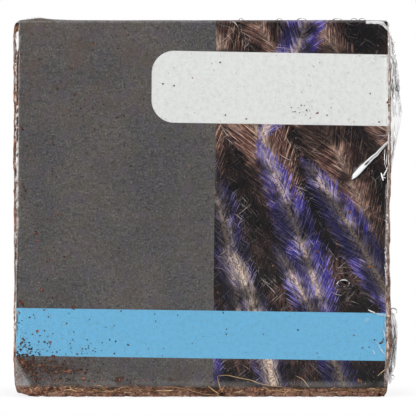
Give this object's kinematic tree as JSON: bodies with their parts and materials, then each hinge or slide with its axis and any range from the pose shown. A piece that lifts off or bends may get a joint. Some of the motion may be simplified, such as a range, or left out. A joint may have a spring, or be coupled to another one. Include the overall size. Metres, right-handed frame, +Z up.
{
  "type": "shrink-wrapped coconut coir block",
  "caption": "Small square block of pressed coconut coir with a paper label folded over its top, in clear ruffled shrink film, standing on its long edge.",
  "frame": {"origin": "on the flat base of the film, under the middle of the wrapped block", "axes": "+Z up, the printed face looks towards -Y, +X to the right as the label is read"},
  "size_m": [0.1042, 0.0264, 0.1015],
  "materials": {
    "pressed_coir": "rough pressed coconut pith and fibre, dry, brown",
    "printed_paper": "coated paper, printed in grey, near-black, white and light blue, with crumbs of coir on it",
    "clear_film": "clear shrink film, glossy, creased, with welded ruffled edges"
  },
  "bodies": {
    "root": {"coir_block": "pressed_coir", "paper_label": "printed_paper", "shrink_film": "clear_film"}
  },
  "joints": []
}
